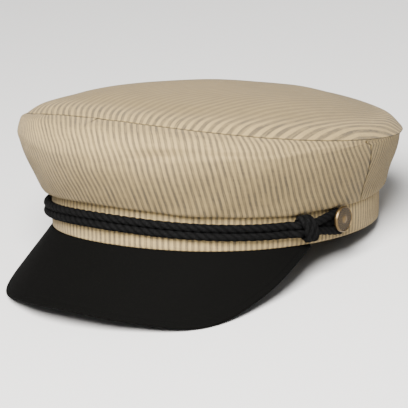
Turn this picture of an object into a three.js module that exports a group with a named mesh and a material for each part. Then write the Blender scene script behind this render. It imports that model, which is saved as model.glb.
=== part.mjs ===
// A Breton fisherman cap: soft four-panel crown with a domed top, head band, cloth peak,
// and a twisted cord that runs round the band between two metal buttons.
// Millimetres, +Z up. The cap is modelled as it is worn, with its front towards -Y, the wearer's
// left towards +X and the lower edge of the head band at z = 0. At the end it is turned to lie as
// it rests by itself, on the peak's edge and the back of the band, centred on the surface z = 0.
import * as THREE from "three";

// Head band: an upright oval wall of doubled cloth
const bandHalfLength = 100.2;
const bandHalfWidth = 84.1;
const bandSquareness = 0.028; // how much further than an oval it reaches between its ends and sides
const bandWall = 2.0;
const bandEdgeRiseFront = 2.6; // its lower edge is higher here than at the sides
const bandEdgeRiseBack = 1.4;
const bandTopFront = 25.4;
const bandTopSide = 18.0;
const bandTopBack = 24.7;
const bandPressedFlat = 0.5; // how far the cloth edge is pressed in where it rests

// Crown: half sizes of its fullest ring and of the seam round its top panel
const crownWall = 1.5;
const crownSquareness = 0.024;
const fullFront = 122.2;
const fullSide = 98.4;
const fullBack = 111.5;
const fullHeightFront = 53.0;
const fullHeightSide = 52.0;
const fullHeightBack = 48.0;
const topSeamFront = 103.7;
const topSeamSide = 99.0;
const topSeamBack = 109.5;
const topSeamHeightFront = 71.4;
const topSeamHeightSide = 55.9;
const topSeamHeightBack = 53.6;
const crownHeight = 79.1;
const sideSeamAngle = 102.8; // degrees round from the centre front, on each side, at the band
const sideSeamTopAngle = 93.5; // and at the top seam

// Peak: a stiffened cloth plate below the front of the band
const peakWall = 2.2;
const peakDepth = 45.2;
const peakHalfSpread = 76.3; // degrees round from the centre front to each end

// Cord, its knots and the buttons that it loops round
const cordDiameter = 4.6;
const cordHeightFront = 15.6;
const cordHeightSide = 10.6;
const knotAngle = 72.5;
const knotLength = 12.5;
const knotWall = 1.6;
const knotLump = 1.7;
const buttonAngle = 87.8;
const buttonHeight = 12.0;
const buttonDiameter = 14.5;
const buttonRim = 1.2;
const buttonThickness = 2.0;
const shankDiameter = 2.0;
const cordLoopRadius = 5.2;
const cordLoopHeight = 10.3;

// Clearances
const seamGap = 0.3;
const mitreShare = 0.8; // of a wall, by which its inner corner lies in and down from the top seam

// How finely the surfaces are divided
const frontPanelSteps = 18;
const backPanelSteps = 14;
const ringSteps = 64;
const peakSteps = 32;
const cordSides = 8;
const cordStep = 7.0;
const knotSides = 12;
const knotStations = 8;
const latheSides = 20;

// Shares along the wall from the band up to the fullest ring
const lowerWall = [
  { out: 0.0, up: 0.0 },
  { out: 0.17, up: 0.0 },
  { out: 0.33, up: 0.03 },
  { out: 0.47, up: 0.15 },
  { out: 0.63, up: 0.34 },
  { out: 0.79, up: 0.55 },
  { out: 0.93, up: 0.78 },
  { out: 1.0, up: 1.0 },
];

// Shares along the wall from the fullest ring in and up to the top seam
const upperWall = [
  { inward: 0.0, up: 0.0 },
  { inward: 0.04, up: 0.3 },
  { inward: 0.15, up: 0.58 },
  { inward: 0.43, up: 0.84 },
  { inward: 1.0, up: 1.0 },
];

// Shares from the top seam in to the middle of the top panel: its rise at the front and elsewhere
const topPanel = [
  { inward: 0.0, front: 0.0, side: 0.0 },
  { inward: 0.06, front: 0.305, side: 0.225 },
  { inward: 0.12, front: 0.46, side: 0.32 },
  { inward: 0.2, front: 0.6, side: 0.42 },
  { inward: 0.3, front: 0.8, side: 0.53 },
  { inward: 0.45, front: 0.96, side: 0.7 },
  { inward: 0.62, front: 1.03, side: 0.82 },
  { inward: 0.8, front: 1.02, side: 0.94 },
  { inward: 1.0, front: 1.0, side: 1.0 },
];

// Soft hollows in the crown, and bulges that are hollows of less than no depth: place round it in
// degrees, place up it as in crownPoint, depth and sag in shares of the wall's overhang, half spans
const crownHollows = [
  { angle: 26, up: 1.15, depth: 0.12, sag: 0, wide: 13, tall: 0.3 },
  { angle: -34, up: 0.8, depth: 0.07, sag: 0, wide: 16, tall: 0.3 },
  { angle: 106, up: 0.45, depth: 0.13, sag: 0, wide: 12, tall: 0.28 },
  { angle: 133, up: 0.22, depth: -0.1, sag: 0, wide: 22, tall: 0.22 },
  { angle: -120, up: 0.55, depth: 0.12, sag: 0, wide: 16, tall: 0.3 },
  { angle: -48, up: 2.0, depth: -0.26, sag: 0.1, wide: 26, tall: 0.18 },
  { angle: 128, up: 2.0, depth: 0, sag: 0.1, wide: 26, tall: 0.3 },
];

// Peak: shares of its depth, and its slope below level in degrees, from centre front to each end
const peakRows = [
  { round: 0.0, depth: 1.0, slope: 40.5 },
  { round: 0.25, depth: 0.995, slope: 45.8 },
  { round: 0.5, depth: 0.96, slope: 51 },
  { round: 0.72, depth: 0.577, slope: 52 },
  { round: 0.88, depth: 0.246, slope: 44 },
  { round: 1.0, depth: 0.022, slope: 36 },
];

const toRadians = (degrees) => THREE.MathUtils.degToRad(degrees);

// A size that changes smoothly round the cap from its front over its sides to its back
function aroundCap(angle, front, side, back) {
  const mean = (front + back + 2 * side) / 4;
  const alongCap = ((front - back) / 2) * Math.cos(angle);
  return mean + alongCap + ((front + back - 2 * side) / 4) * Math.cos(2 * angle);
}

// A point on a squared oval with its own reach to the front, side and back
function onOval(angle, front, side, back, squareness, height) {
  const halfLength = (front + back) / 2;
  const shift = (back - front) / 2;
  const swell = 1 + (squareness * (1 - Math.cos(4 * angle))) / 2;
  const y = shift - halfLength * swell * Math.cos(angle);
  return new THREE.Vector3(side * swell * Math.sin(angle), y, height);
}

// A smooth curve through one column of a table, whose rows lie at equal steps or at places of their
// own. A table with its own places starts level, because it is the same to the left and right.
function readTable(rows, column, place, placeColumn = null) {
  const last = rows.length - 1;
  const placeOf = (i) => (placeColumn ? rows[i][placeColumn] : i / last);
  let lower = 0;
  while (lower < last - 1 && placeOf(lower + 1) < place) lower += 1;
  const slopeAt = (i) => {
    if (placeColumn && i === 0) return 0;
    const before = Math.max(i - 1, 0);
    const after = Math.min(i + 1, last);
    return (rows[after][column] - rows[before][column]) / (placeOf(after) - placeOf(before));
  };
  const width = placeOf(lower + 1) - placeOf(lower);
  const share = (place - placeOf(lower)) / width;
  const cube = share ** 3;
  const square = share ** 2;
  return (
    (2 * cube - 3 * square + 1) * rows[lower][column] +
    (cube - 2 * square + share) * width * slopeAt(lower) +
    (3 * square - 2 * cube) * rows[lower + 1][column] +
    (cube - square) * width * slopeAt(lower + 1)
  );
}

const bandTop = (angle) => aroundCap(angle, bandTopFront, bandTopSide, bandTopBack);
const bandEdge = (angle) => aroundCap(angle, bandEdgeRiseFront, 0, bandEdgeRiseBack);
const fullHeight = (angle) => aroundCap(angle, fullHeightFront, fullHeightSide, fullHeightBack);
const topSeamHeight = (angle) => aroundCap(angle, topSeamHeightFront, topSeamHeightSide, topSeamHeightBack);

const onBand = (angle, height) =>
  onOval(angle, bandHalfLength, bandHalfWidth, bandHalfLength, bandSquareness, height);

// The way along the band's face, to the wearer's left in front, per radian round the cap
function bandWay(angle) {
  const turn = toRadians(0.1);
  return onBand(angle + turn, 0).sub(onBand(angle - turn, 0)).divideScalar(2 * turn);
}

// The outward direction of the band's face, level, at an angle round the cap
function bandNormal(angle) {
  const way = bandWay(angle);
  return new THREE.Vector3(way.y, -way.x, 0).normalize();
}

// A point off the band's outer face: angle round the cap, height, and distance out from the cloth
function offBand(angle, height, lift) {
  return onBand(angle, height).addScaledVector(bandNormal(angle), lift);
}

// The angle that lies a given length round the band from another angle
const stepRound = (angle, length) => angle + length / bandWay(angle).length();

// A point of the crown's wall: up runs 0 to 1 from the band to the fullest ring, 1 to 2 on to the
// top seam, and 2 to 3 over the top panel to its middle, and depth is the way in from the outer face
function crownPoint(angle, up, depth) {
  const foot = bandTop(angle) + seamGap + depth;
  const start = offBand(angle, foot, -bandWall);
  const fullReach = [fullFront, fullSide, fullBack].map((reach) => reach - depth);
  const full = onOval(angle, ...fullReach, crownSquareness, fullHeight(angle));
  const seamDepth = depth * mitreShare;
  const seamReach = [topSeamFront, topSeamSide, topSeamBack].map((reach) => reach - seamDepth);
  const seam = onOval(angle, ...seamReach, crownSquareness, topSeamHeight(angle) - seamDepth);
  const middle = new THREE.Vector3(0, (topSeamBack - topSeamFront) / 2, crownHeight - depth);
  const point = new THREE.Vector3();
  if (up <= 1) {
    point.lerpVectors(start, full, readTable(lowerWall, "out", up));
    point.z = THREE.MathUtils.lerp(foot, full.z, readTable(lowerWall, "up", up));
  } else if (up <= 2) {
    point.lerpVectors(full, seam, readTable(upperWall, "inward", up - 1));
    point.z = THREE.MathUtils.lerp(full.z, seam.z, readTable(upperWall, "up", up - 1));
  } else {
    const towardsFront = ((1 + Math.cos(angle)) / 2) ** 2;
    const front = readTable(topPanel, "front", up - 2);
    const side = readTable(topPanel, "side", up - 2);
    point.lerpVectors(seam, middle, readTable(topPanel, "inward", up - 2));
    point.z = THREE.MathUtils.lerp(seam.z, middle.z, THREE.MathUtils.lerp(side, front, towardsFront));
  }
  const outward = full.clone().sub(start).setZ(0);
  for (const hollow of crownHollows) {
    const away = angle - toRadians(hollow.angle);
    const round = Math.atan2(Math.sin(away), Math.cos(away)) / toRadians(hollow.wide);
    const rise = (up - hollow.up) / hollow.tall;
    const share = Math.exp(-(round ** 2) - rise ** 2);
    point.addScaledVector(outward, -hollow.depth * share);
    point.z -= outward.length() * hollow.sag * share;
  }
  return point;
}

// A short way along the crown's face from the top seam: down the wall, or in over the top panel
function besideSeam(angle, length) {
  const step = 0.04 * Math.sign(length);
  const way = crownPoint(angle, 2 + step, 0).sub(crownPoint(angle, 2, 0));
  return way.setLength(Math.abs(length));
}

// The upper face of the peak: out runs -1 at the back of its sewn edge under the band, 0 at the
// band's outer face, and 1 at its free edge
function peakPoint(round, out, depth) {
  const angle = round * toRadians(peakHalfSpread);
  const place = Math.abs(round);
  const length = peakDepth * readTable(peakRows, "depth", place, "round");
  const slope = toRadians(readTable(peakRows, "slope", place, "round"));
  const sewnDepth = Math.min(out, 0) * (bandWall - seamGap);
  const fall = Math.max(out, 0) * length;
  const point = offBand(angle, bandEdge(angle) - seamGap, sewnDepth + fall * Math.cos(slope));
  point.z -= fall * Math.sin(slope);
  const down = out < 0 ? toRadians(90) : toRadians(90) - slope;
  const inwards = bandNormal(angle).multiplyScalar(-Math.cos(down));
  return point.addScaledVector(inwards, depth).add(new THREE.Vector3(0, 0, -depth * Math.sin(down)));
}

// A closed geometry from a list of points and triangles
function makeGeometry(points, triangles) {
  const geometry = new THREE.BufferGeometry();
  geometry.setAttribute("position", new THREE.Float32BufferAttribute(points.flatMap((p) => p.toArray()), 3));
  geometry.setIndex(triangles.flat());
  geometry.computeVertexNormals();
  return geometry;
}

// Joins two rows of points by triangles that face right of the way along them, seen from outside
function joinRows(triangles, low, high, closed) {
  const count = low.length;
  for (let i = 0; i < (closed ? count : count - 1); i += 1) {
    const next = (i + 1) % count;
    triangles.push([low[i], low[next], high[next]], [low[i], high[next], high[i]]);
  }
}

// A cloth wall between an outer and an inner grid of points, closed along all four edges. Its two
// ends share one diagonal, so that walls sewn end to end keep their gap.
function makeWall(outerRows, innerRows) {
  const points = [];
  const addRow = (row) => row.map((point) => points.push(point) - 1);
  const outer = outerRows.map(addRow);
  const inner = innerRows.map(addRow);
  const triangles = [];
  const last = outer.length - 1;
  for (let j = 0; j < last; j += 1) {
    joinRows(triangles, outer[j], outer[j + 1], false);
    joinRows(triangles, inner[j + 1], inner[j], false);
  }
  joinRows(triangles, inner[0], outer[0], false);
  joinRows(triangles, outer[last], inner[last], false);
  const end = outer[0].length - 1;
  for (let j = 0; j < last; j += 1) {
    triangles.push([outer[j][0], inner[j + 1][0], inner[j][0]]);
    triangles.push([outer[j][0], outer[j + 1][0], inner[j + 1][0]]);
    triangles.push([outer[j][end], inner[j][end], inner[j + 1][end]]);
    triangles.push([outer[j][end], inner[j + 1][end], outer[j + 1][end]]);
  }
  return makeGeometry(points, triangles);
}

// A solid swept through closed loops of points, with the last loop joined to the first
function makeClosedSweep(loops) {
  const points = [];
  const rings = loops.map((loop) => loop.map((point) => points.push(point) - 1));
  const triangles = [];
  rings.forEach((ring, i) => joinRows(triangles, ring, rings[(i + 1) % rings.length], true));
  return makeGeometry(points, triangles);
}

function evenSteps(from, to, steps) {
  return Array.from({ length: steps + 1 }, (_, i) => THREE.MathUtils.lerp(from, to, i / steps));
}

// How far round from the centre front the side seam is, at a place up the crown's wall
function sideSeam(up) {
  const share = THREE.MathUtils.smoothstep(up, 0, 2);
  return toRadians(THREE.MathUtils.lerp(sideSeamAngle, sideSeamTopAngle, share));
}

// One cloth panel of the crown's wall between two seams, given as angles at a place up the wall,
// with half a seam's gap left at each side and at the top
function makeCrownPanel(fromSeam, toSeam, steps) {
  const lower = evenSteps(0, 1, lowerWall.length - 1);
  const upper = evenSteps(1, 2, upperWall.length - 1).slice(1);
  const rows = [...lower, ...upper];
  const faceAt = (depth) =>
    rows.map((up) => {
      const from = stepRound(fromSeam(up), seamGap / 2);
      const to = stepRound(toSeam(up), -seamGap / 2);
      return evenSteps(from, to, steps).map((angle) => {
        const point = crownPoint(angle, up, depth);
        return up === 2 ? point.add(besideSeam(angle, -seamGap / 2)) : point;
      });
    });
  return makeWall(faceAt(0), faceAt(crownWall));
}

function makeCrownTop() {
  const rows = evenSteps(2, 3, topPanel.length - 1).slice(0, -1);
  const angles = evenSteps(0, 2 * Math.PI, ringSteps).slice(0, -1);
  const points = [];
  const faceAt = (depth) =>
    rows.map((up) =>
      angles.map((angle) => {
        const point = crownPoint(angle, up, depth);
        return points.push(up === 2 ? point.add(besideSeam(angle, seamGap / 2)) : point) - 1;
      })
    );
  const outer = faceAt(0);
  const inner = faceAt(crownWall);
  const outerMiddle = points.push(crownPoint(0, 3, 0)) - 1;
  const innerMiddle = points.push(crownPoint(0, 3, crownWall)) - 1;
  const triangles = [];
  const last = rows.length - 1;
  for (let j = 0; j < last; j += 1) {
    joinRows(triangles, outer[j], outer[j + 1], true);
    joinRows(triangles, inner[j + 1], inner[j], true);
  }
  joinRows(triangles, inner[0], outer[0], true);
  for (let i = 0; i < ringSteps; i += 1) {
    const next = (i + 1) % ringSteps;
    triangles.push([outer[last][i], outer[last][next], outerMiddle]);
    triangles.push([inner[last][next], inner[last][i], innerMiddle]);
  }
  return makeGeometry(points, triangles);
}

function makePeak() {
  const outs = [-1, 0, 0.25, 0.5, 0.75, 1];
  const rounds = evenSteps(-1, 1, peakSteps);
  const faceAt = (depth) => outs.map((out) => rounds.map((round) => peakPoint(round, out, depth)));
  return makeWall(faceAt(peakWall), faceAt(0));
}

// The surface that the cap rests on, in the worn frame: it passes just inside the band's back edge
// and touches the peak's lowest points
const peakGeometry = makePeak();
const restEdge = bandEdge(Math.PI) + bandPressedFlat;
const restTilt = (() => {
  const corners = peakGeometry.getAttribute("position");
  let tilt = 0;
  for (let i = 0; i < corners.count; i += 1) {
    const fall = restEdge - corners.getZ(i);
    tilt = Math.max(tilt, Math.atan2(fall, bandHalfLength - corners.getY(i)));
  }
  return tilt;
})();
const restHeight = (y) => restEdge - (bandHalfLength - y) * Math.tan(restTilt);

function makeHeadBand() {
  const angles = evenSteps(0, 2 * Math.PI, ringSteps).slice(0, -1);
  const loops = angles.map((angle) => {
    const top = bandTop(angle);
    const halfway = (top + bandEdge(angle)) / 2;
    const outerFoot = offBand(angle, bandEdge(angle), 0);
    const innerFoot = offBand(angle, bandEdge(angle), -bandWall);
    for (const foot of [outerFoot, innerFoot]) foot.z = Math.max(foot.z, restHeight(foot.y));
    return [
      innerFoot,
      offBand(angle, halfway, -bandWall),
      offBand(angle, top, -bandWall),
      offBand(angle, top, 0),
      offBand(angle, halfway, 0),
      outerFoot,
    ];
  });
  return makeClosedSweep(loops);
}

// Half the way between the two strands, and how far off the band the cord's middle line lies along
// the band and inside a knot
const strandOffset = (cordDiameter + seamGap) / 2;
const cordLift = seamGap + cordDiameter / 2;
const knotLift = cordLift + seamGap + knotWall;

// The height half-way between the two strands, at an angle round the cap
function pairHeight(angle) {
  const place = Math.abs(angle) / toRadians(knotAngle);
  return THREE.MathUtils.lerp(cordHeightFront, cordHeightSide, THREE.MathUtils.smoothstep(place, 0, 1));
}

// The closed line that the cord follows: along the upper strand from right to left, round the left
// button's shank, and back along the lower strand to the right button
function cordRoute() {
  const knot = toRadians(knotAngle);
  const button = toRadians(buttonAngle);
  const knotStart = stepRound(knot, -knotLength / 2 - seamGap);
  const knotEnd = stepRound(knot, knotLength / 2 + seamGap);
  const strandEnd = stepRound(knotStart, -cordDiameter);
  const strandSteps = Math.round((2 * strandEnd * bandHalfLength) / cordStep);
  const knotSteps = evenSteps(knotStart, knotEnd, 3);
  const loopSteps = [90, ...evenSteps(60, -60, 4), -90];
  const route = [];
  for (const side of [1, -1]) {
    for (const angle of evenSteps(-side * strandEnd, side * strandEnd, strandSteps)) {
      route.push({ angle, height: pairHeight(angle) + side * strandOffset, lift: cordLift });
    }
    const knotHeight = pairHeight(knot);
    for (const angle of knotSteps) {
      route.push({ angle: side * angle, height: knotHeight + side * strandOffset, lift: knotLift });
    }
    for (const turn of loopSteps) {
      const angle = side * stepRound(button, cordLoopRadius * Math.cos(toRadians(turn)));
      const height = cordLoopHeight + side * cordLoopRadius * Math.sin(toRadians(turn));
      route.push({ angle, height, lift: cordLift });
    }
    for (const angle of [...knotSteps].reverse()) {
      route.push({ angle: side * angle, height: knotHeight - side * strandOffset, lift: knotLift });
    }
  }
  return route;
}

function makeCord() {
  const route = cordRoute();
  const middles = route.map(({ angle, height, lift }) => offBand(angle, height, lift));
  const loops = middles.map((middle, i) => {
    const ahead = middles[(i + 1) % middles.length];
    const behind = middles[(i + middles.length - 1) % middles.length];
    const way = ahead.clone().sub(behind).normalize();
    const across = bandNormal(route[i].angle).cross(way).normalize();
    const out = way.clone().cross(across);
    return Array.from({ length: cordSides }, (_, k) => {
      const turn = ((k + 0.5) * 2 * Math.PI) / cordSides;
      const point = middle.clone().addScaledVector(across, (Math.cos(turn) * cordDiameter) / 2);
      return point.addScaledVector(out, (Math.sin(turn) * cordDiameter) / 2);
    });
  });
  return makeClosedSweep(loops);
}

// A knot: a lumpy sleeve round both strands, highest before its middle and lowest after it
function makeKnot(side) {
  const knot = toRadians(knotAngle);
  const tunnel = cordDiameter / 2 + seamGap;
  const section = (place, wall) => {
    const angle = side * stepRound(knot, (place - 0.5) * knotLength);
    const plump = wall > 0 ? Math.sin(Math.PI * place) : 0;
    return Array.from({ length: knotSides }, (_, k) => {
      const turn = (-side * k * 2 * Math.PI) / knotSides;
      const up = Math.sin(turn);
      const out = Math.cos(turn);
      const lean = up > 0 ? 1 - place : place;
      const lump = out > -0.1 ? knotLump * plump * lean * 1.4 : 0;
      const reach = tunnel + wall + lump;
      const level = Math.sign(Math.round(up * 4));
      return offBand(angle, pairHeight(knot) + level * strandOffset + reach * up, knotLift + reach * out);
    });
  };
  const places = evenSteps(0, 1, knotStations - 1);
  const outer = places.map((place) => section(place, knotWall));
  const inner = places.map((place) => section(place, 0)).reverse();
  return makeClosedSweep([...outer, ...inner]);
}

// A button: shank, disc with a raised rim, and a plain raised boss in its middle
function makeButtonGeometry() {
  const shank = shankDiameter / 2;
  const disc = buttonDiameter / 2;
  const back = cordDiameter + 2 * seamGap;
  const face = back + buttonThickness;
  const profile = [
    [0, seamGap],
    [shank, seamGap],
    [shank, back],
    [disc - buttonRim / 2, back],
    [disc, back + buttonRim / 2],
    [disc, face - buttonRim / 2],
    [disc - buttonRim / 2, face],
    [disc - buttonRim, face - buttonRim / 3],
    [disc / 2, face - buttonRim / 3],
    [disc / 3, face],
    [0, face + buttonRim / 4],
  ];
  return new THREE.LatheGeometry(
    profile.map(([radius, height]) => new THREE.Vector2(radius, height)),
    latheSides
  );
}

// Cloth, cord and metal
const clothFinish = { color: 0xb9a88a, roughness: 0.9, metalness: 0 };
const peakFinish = { color: 0x141414, roughness: 0.85, metalness: 0 };
const cordFinish = { color: 0x0e0e0f, roughness: 0.7, metalness: 0 };
const brassFinish = { color: 0x8a6f42, roughness: 0.4, metalness: 1 };

function addPiece(parent, name, geometry, finish) {
  const piece = new THREE.Mesh(geometry, new THREE.MeshStandardMaterial(finish));
  piece.name = name;
  parent.add(piece);
  return piece;
}

const wornCap = new THREE.Group();
addPiece(wornCap, "crown_top", makeCrownTop(), clothFinish);
const rightSeam = (up) => -sideSeam(up);
const frontSeam = () => 0;
const backSeam = () => Math.PI;
const otherBackSeam = () => -Math.PI;
addPiece(wornCap, "crown_front_left", makeCrownPanel(frontSeam, sideSeam, frontPanelSteps), clothFinish);
addPiece(wornCap, "crown_front_right", makeCrownPanel(rightSeam, frontSeam, frontPanelSteps), clothFinish);
addPiece(wornCap, "crown_back_left", makeCrownPanel(sideSeam, backSeam, backPanelSteps), clothFinish);
addPiece(wornCap, "crown_back_right", makeCrownPanel(otherBackSeam, rightSeam, backPanelSteps), clothFinish);
addPiece(wornCap, "head_band", makeHeadBand(), clothFinish);
addPiece(wornCap, "peak", peakGeometry, peakFinish);
addPiece(wornCap, "band_cord", makeCord(), cordFinish);
for (const [name, side] of [["left", 1], ["right", -1]]) {
  addPiece(wornCap, `knot_${name}`, makeKnot(side), cordFinish);
  const button = addPiece(wornCap, `button_${name}`, makeButtonGeometry(), brassFinish);
  const angle = side * toRadians(buttonAngle);
  button.position.copy(offBand(angle, buttonHeight, 0));
  button.quaternion.setFromUnitVectors(new THREE.Vector3(0, 1, 0), bandNormal(angle));
}

// The cap lies as it rests: tipped back on to its resting surface, and centred over the origin
wornCap.rotation.x = -restTilt;
const restingCap = new THREE.Group();
restingCap.add(wornCap);
const reach = new THREE.Box3().setFromObject(restingCap, true);
const middle = reach.getCenter(new THREE.Vector3());
wornCap.position.set(-middle.x, -middle.y, -reach.min.z);

export default restingCap;
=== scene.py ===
import math
import bpy
import numpy as np
from mathutils import Matrix, Vector


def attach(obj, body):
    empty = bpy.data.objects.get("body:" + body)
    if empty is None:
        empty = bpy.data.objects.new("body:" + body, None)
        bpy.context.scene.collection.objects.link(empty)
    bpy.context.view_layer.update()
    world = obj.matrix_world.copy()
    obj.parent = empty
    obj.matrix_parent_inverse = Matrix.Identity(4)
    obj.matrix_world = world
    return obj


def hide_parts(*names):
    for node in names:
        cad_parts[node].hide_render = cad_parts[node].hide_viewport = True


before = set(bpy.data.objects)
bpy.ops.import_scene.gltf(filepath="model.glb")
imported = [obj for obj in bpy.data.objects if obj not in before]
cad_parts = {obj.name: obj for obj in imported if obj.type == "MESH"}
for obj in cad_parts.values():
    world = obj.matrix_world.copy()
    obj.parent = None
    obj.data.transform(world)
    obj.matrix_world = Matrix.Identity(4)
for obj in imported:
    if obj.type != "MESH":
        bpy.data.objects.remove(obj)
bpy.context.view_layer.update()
print("frame loaded:", len(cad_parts), "nodes")

# The cap's shape, in millimetres as it is worn: front towards -Y, wearer's left towards +X
cap = {
    "bandHalfLength": 100.2, "bandHalfWidth": 84.1, "bandSquareness": 0.028, "bandWall": 2.0,
    "bandEdge": (2.6, 0.0, 1.4), "bandTop": (25.4, 18.0, 24.7),  # front, side, back
    "full": (122.2, 98.4, 111.5), "fullHeight": (53.0, 52.0, 48.0),  # the crown's fullest ring
    "seam": (103.7, 99.0, 109.5), "seamHeight": (71.4, 55.9, 53.6),  # the seam round the top panel
    "crownHeight": 79.1, "crownSquareness": 0.024, "crownWall": 1.5,
    "sideSeam": (102.8, 93.5),  # degrees from the centre front, at the band and at the top seam
    "restTilt": -10.0817, "restShift": (0.1915, 9.3874, 15.6695),  # from worn to resting
    "gap": 0.3,  # between the band's top and the crown
}


def vectors(x, y, z):  # coordinates of any shapes that fit, joined into one array of points
    return np.stack(np.broadcast_arrays(x, y, z), -1).astype(float)


def toRest(points):  # the worn cap turned about X, moved on to the surface and changed to metres
    turn = math.radians(cap["restTilt"])
    c, s = math.cos(turn), math.sin(turn)
    x, y, z = points[..., 0], points[..., 1], points[..., 2]
    return (vectors(x, y * c - z * s, y * s + z * c) + np.array(cap["restShift"])) / 1000


# The photograph's point of view: where the lens is, in the worn cap's millimetres and degrees
view = {
    "azimuth": 38.0, "elevation": 9.7, "distance": 1300.0, "aim": (0.0, 0.0, 41.3),
    "focal": 2284.9, "aimPixel": (13.6, 56.1), "imageWidth": 408,  # in the photo's pixels
    "sensor": 36.0, "clipEnd": 20.0,  # millimetres and metres
}


def turnedToRest(vector):  # a way of the worn cap, turned about X as toRest turns its points
    return Matrix.Rotation(math.radians(cap["restTilt"]), 3, "X") @ Vector(vector)


# The camera stands back from its aim along one way and looks past it, so that the aim falls on its pixel
def makeCamera():
    az, el = math.radians(view["azimuth"]), math.radians(view["elevation"])
    back = Vector((math.sin(az) * math.cos(el), -math.cos(az) * math.cos(el), math.sin(el)))
    right = Vector((math.cos(az), math.sin(az), 0))
    up = back.cross(right)
    ahead = (-back * view["focal"] - right * view["aimPixel"][0] - up * view["aimPixel"][1]).normalized()
    right = ahead.cross(up).normalized()
    up = right.cross(ahead)
    turn = Matrix([turnedToRest(right), turnedToRest(up), turnedToRest(-ahead)]).transposed()
    place = toRest(np.array(view["aim"]) + np.array(back) * view["distance"])
    data = bpy.data.cameras.new("photo_view")
    data.sensor_width = view["sensor"]
    data.lens = view["focal"] / view["imageWidth"] * view["sensor"]
    data.clip_end = view["clipEnd"]
    camera = bpy.data.objects.new("photo_view", data)
    camera.matrix_world = Matrix.Translation(Vector(place.tolist())) @ turn.to_4x4()
    bpy.context.scene.collection.objects.link(camera)
    bpy.context.scene.camera = camera


makeCamera()
print("camera made")

# Shares of the way: band to fullest ring, fullest ring to top seam, top seam to the middle
lowerWall = np.array([(0, 0), (0.17, 0), (0.33, 0.03), (0.47, 0.15), (0.63, 0.34), (0.79, 0.55),
                      (0.93, 0.78), (1, 1)])
upperWall = np.array([(0, 0), (0.04, 0.3), (0.15, 0.58), (0.43, 0.84), (1, 1)])
topPanel = np.array([(0, 0, 0), (0.06, 0.305, 0.225), (0.12, 0.46, 0.32), (0.2, 0.6, 0.42), (0.3, 0.8, 0.53),
                     (0.45, 0.96, 0.7), (0.62, 1.03, 0.82), (0.8, 1.02, 0.94), (1, 1, 1)])

# Hollows, and bulges with a depth below nought: angle, up, depth, sag, half span round, half span up
hollows = [(26, 1.15, 0.12, 0, 13, 0.3), (-34, 0.8, 0.07, 0, 16, 0.3), (106, 0.45, 0.13, 0, 12, 0.28),
           (133, 0.22, -0.1, 0, 22, 0.22), (-120, 0.55, 0.12, 0, 16, 0.3), (-48, 2.0, -0.23, 0.07, 26, 0.26),
           (128, 2.0, 0, 0.1, 26, 0.3)]


def aroundCap(angle, sizes):  # a mean plus one cosine of the angle and one of twice the angle
    front, side, back = sizes
    mean = (front + back + 2 * side) / 4
    return mean + (front - back) / 2 * np.cos(angle) + (front + back - 2 * side) / 4 * np.cos(2 * angle)


def onOval(angle, reach, squareness, height):  # an oval swollen between its ends and its sides
    front, side, back = reach
    swell = 1 + squareness * (1 - np.cos(4 * angle)) / 2
    y = (back - front) / 2 - (front + back) / 2 * swell * np.cos(angle)
    return vectors(side * swell * np.sin(angle), y, height)


def readCurve(values, at, places=None, level=False):  # cubic pieces, with the slope between neighbours
    values = np.asarray(values, float)
    places = np.linspace(0, 1, len(values)) if places is None else np.asarray(places, float)
    low = np.clip(np.searchsorted(places, at, side="left") - 1, 0, len(values) - 2)
    ends = np.arange(len(values))
    before, after = np.maximum(ends - 1, 0), np.minimum(ends + 1, len(values) - 1)
    slopes = (values[after] - values[before]) / (places[after] - places[before])
    if level:
        slopes[0] = 0
    width = places[low + 1] - places[low]
    share = (at - places[low]) / width
    square, cube = share**2, share**3
    start = (2 * cube - 3 * square + 1) * values[low] + (cube - 2 * square + share) * width * slopes[low]
    end = (3 * square - 2 * cube) * values[low + 1] + (cube - square) * width * slopes[low + 1]
    return start + end


def unit(v):  # each vector divided by its own length
    return v / np.maximum(np.linalg.norm(v, axis=-1, keepdims=True), 1e-9)


def onBand(angle, height=0.0):  # the band's own oval, which is the same in front and behind
    half = cap["bandHalfLength"]
    return onOval(angle, (half, cap["bandHalfWidth"], half), cap["bandSquareness"], height)


def bandWay(angle):  # the change of place for each radian round the band, from a small step both ways
    turn = math.radians(0.1)
    return (onBand(angle + turn) - onBand(angle - turn)) / (2 * turn)


def bandNormal(angle):  # level and square to the band's way round
    way = bandWay(angle)
    return unit(vectors(way[..., 1], -way[..., 0], 0.0))


def offBand(angle, height, lift):  # a place on the band's face, moved out along its normal
    return onBand(angle, height) + bandNormal(angle) * np.asarray(lift)[..., None]


def stepRound(angle, length):  # the angle that lies a length further round the band
    return angle + length / float(np.linalg.norm(bandWay(np.float64(angle))))


def blend(a, b, share):  # a at share 0 and b at share 1
    return a + (b - a) * share


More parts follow.
